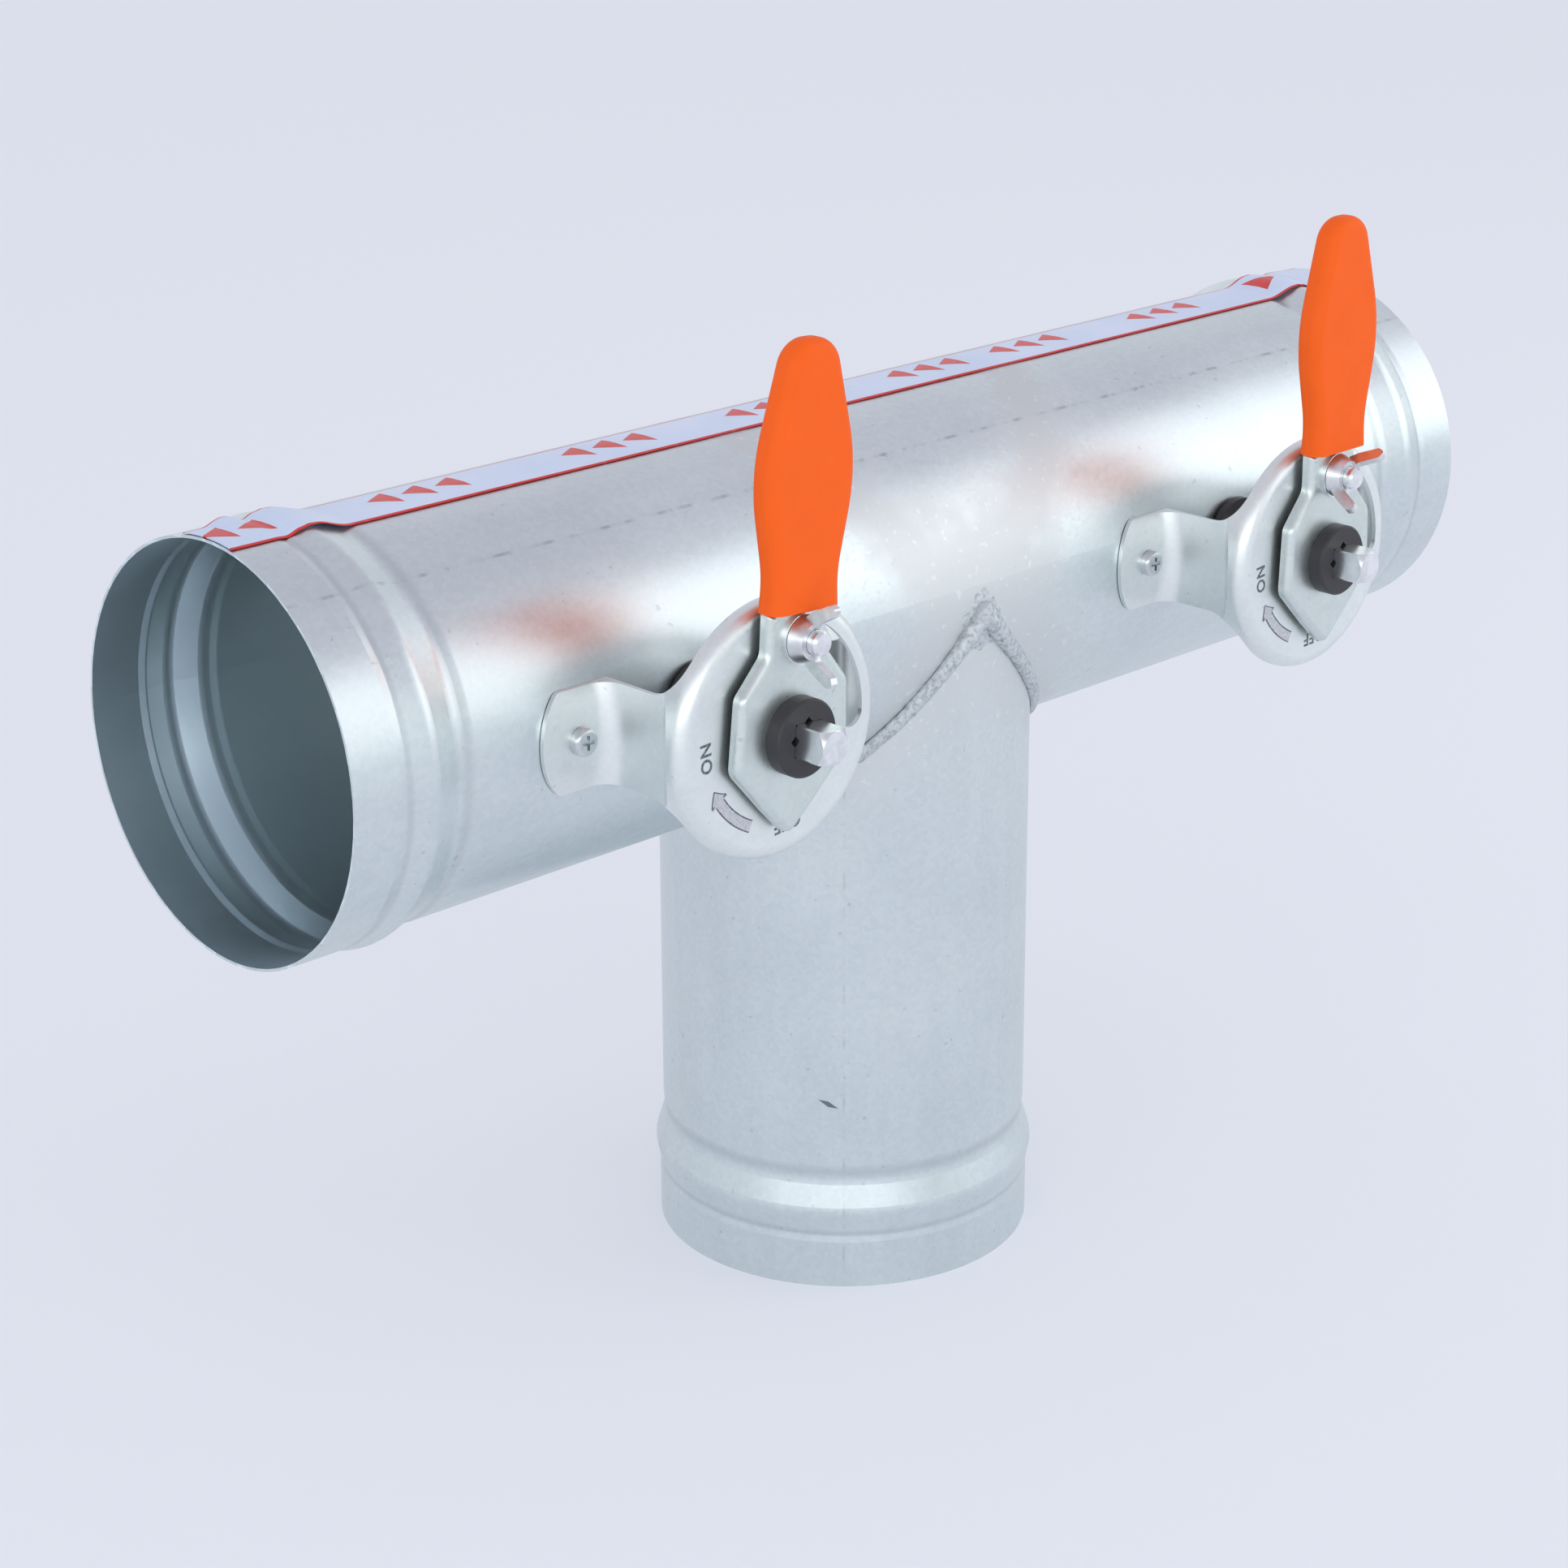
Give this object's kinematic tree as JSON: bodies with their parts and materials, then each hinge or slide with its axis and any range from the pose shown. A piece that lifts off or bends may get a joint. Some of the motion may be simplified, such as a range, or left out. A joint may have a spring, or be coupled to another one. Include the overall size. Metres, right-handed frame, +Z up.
{
  "type": "three-way diverter damper",
  "caption": "Sheet metal duct tee with a lever-set round blade in each arm of its run; each lever turns over a slotted quadrant plate and locks with a wing nut.",
  "frame": {"origin": "centre of the branch's open end, on which the part stands", "axes": "+X along the run, +Z up the branch to the run, levers towards -Y"},
  "size_m": [0.4044, 0.1527, 0.2772],
  "materials": {
    "galvanised_duct": "bright zinc coat, lightly grained",
    "galvanised_blade": "zinc coat",
    "zinc_weld": "rough weld under zinc spray",
    "label_tape": "pale film with red edge lines and arrows",
    "pressed_steel": "pressed zinc coated sheet",
    "bright_steel": "bright drawn steel",
    "zinc_plated": "bright zinc plate",
    "black_nylon": "moulded black",
    "orange_grip": "soft orange sleeve"
  },
  "bodies": {
    "ducts": {"run_tube": "galvanised_duct", "branch_tube": "galvanised_duct", "saddle_weld": "zinc_weld", "label_tape": "label_tape", "left_quadrant_plate": "pressed_steel", "right_quadrant_plate": "pressed_steel", "plate_screws": "bright_steel"},
    "left_damper": {"left_shaft": "bright_steel", "left_blade": "galvanised_blade", "left_blade_bolts": "bright_steel", "left_blade_nuts": "bright_steel", "left_front_bush": "black_nylon", "left_rear_bush": "black_nylon", "left_rear_clip": "bright_steel", "left_hub_bush": "black_nylon", "left_lever": "pressed_steel", "left_grip": "orange_grip", "left_lock_bolt": "bright_steel", "left_lock_washer": "bright_steel"},
    "left_wing_nut": {"left_wing_nut": "zinc_plated"},
    "right_damper": {"right_shaft": "bright_steel", "right_blade": "galvanised_blade", "right_blade_bolts": "bright_steel", "right_blade_nuts": "bright_steel", "right_front_bush": "black_nylon", "right_rear_bush": "black_nylon", "right_rear_clip": "bright_steel", "right_hub_bush": "black_nylon", "right_lever": "pressed_steel", "right_grip": "orange_grip", "right_lock_bolt": "bright_steel", "right_lock_washer": "bright_steel"},
    "right_wing_nut": {"right_wing_nut": "zinc_plated"}
  },
  "joints": [
    {"name": "left_damper_turn", "type": "hinge", "parent": "ducts", "child": "left_damper", "pos_m": [-0.0995, 0, 0.1844], "axis": [0, 1, 0], "range_deg": [-3.5, 86.5]},
    {"name": "left_wing_nut_turn", "type": "hinge", "parent": "left_damper", "child": "left_wing_nut", "pos_m": [-0.0973, -0.0856, 0.20729], "axis": [0, -1, 0], "range_deg": [0, 360]},
    {"name": "right_damper_turn", "type": "hinge", "parent": "ducts", "child": "right_damper", "pos_m": [0.102, 0, 0.1844], "axis": [0, 1, 0], "range_deg": [0, 90]},
    {"name": "right_wing_nut_turn", "type": "hinge", "parent": "right_damper", "child": "right_wing_nut", "pos_m": [0.1028, -0.0856, 0.20739], "axis": [0, -1, 0], "range_deg": [0, 360]}
  ]
}
